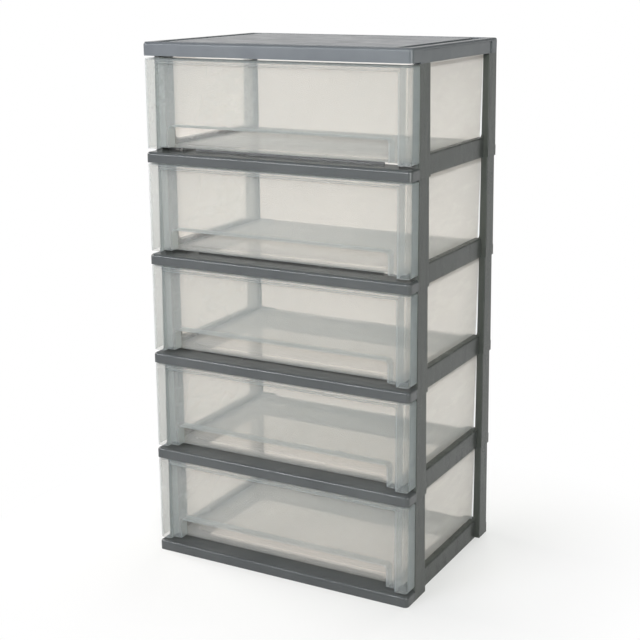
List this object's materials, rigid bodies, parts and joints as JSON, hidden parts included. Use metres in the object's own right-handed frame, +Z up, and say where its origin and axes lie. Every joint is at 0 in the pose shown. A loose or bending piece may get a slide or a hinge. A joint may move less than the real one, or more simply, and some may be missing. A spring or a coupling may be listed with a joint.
{
  "type": "drawer tower",
  "caption": "Tall storage tower of stacked grey plastic frames with open sides and back, and wide milky pull-out drawers with a finger slot along the lower edge.",
  "frame": {"origin": "centre of the object's box in width and depth, on the floor under it", "axes": "+Z up, +X to the right seen from the drawer side, -Y out of the drawer fronts"},
  "size_m": [0.556, 0.39, 1.02],
  "materials": {
    "frame_plastic": "satin grey moulded plastic",
    "drawer_plastic": "satin milky translucent moulded plastic"
  },
  "bodies": {
    "frame": {"top_board": "frame_plastic", "shelf_1": "frame_plastic", "shelf_2": "frame_plastic", "shelf_3": "frame_plastic", "shelf_4": "frame_plastic", "shelf_5": "frame_plastic", "side_left_1": "frame_plastic", "side_left_2": "frame_plastic", "side_left_3": "frame_plastic", "side_left_4": "frame_plastic", "side_left_5": "frame_plastic", "side_right_1": "frame_plastic", "side_right_2": "frame_plastic", "side_right_3": "frame_plastic", "side_right_4": "frame_plastic", "side_right_5": "frame_plastic"},
    "drawer_1": {"tray_1": "drawer_plastic", "front_1": "drawer_plastic"},
    "drawer_2": {"tray_2": "drawer_plastic", "front_2": "drawer_plastic"},
    "drawer_3": {"tray_3": "drawer_plastic", "front_3": "drawer_plastic"},
    "drawer_4": {"tray_4": "drawer_plastic", "front_4": "drawer_plastic"},
    "drawer_5": {"tray_5": "drawer_plastic", "front_5": "drawer_plastic"}
  },
  "joints": [
    {"name": "drawer_1_slide", "type": "slide", "parent": "frame", "child": "drawer_1", "axis": [0, -1, 0], "range_m": [0, 0.26]},
    {"name": "drawer_2_slide", "type": "slide", "parent": "frame", "child": "drawer_2", "axis": [0, -1, 0], "range_m": [0, 0.26]},
    {"name": "drawer_3_slide", "type": "slide", "parent": "frame", "child": "drawer_3", "axis": [0, -1, 0], "range_m": [0, 0.26]},
    {"name": "drawer_4_slide", "type": "slide", "parent": "frame", "child": "drawer_4", "axis": [0, -1, 0], "range_m": [0, 0.26]},
    {"name": "drawer_5_slide", "type": "slide", "parent": "frame", "child": "drawer_5", "axis": [0, -1, 0], "range_m": [0, 0.26]}
  ]
}
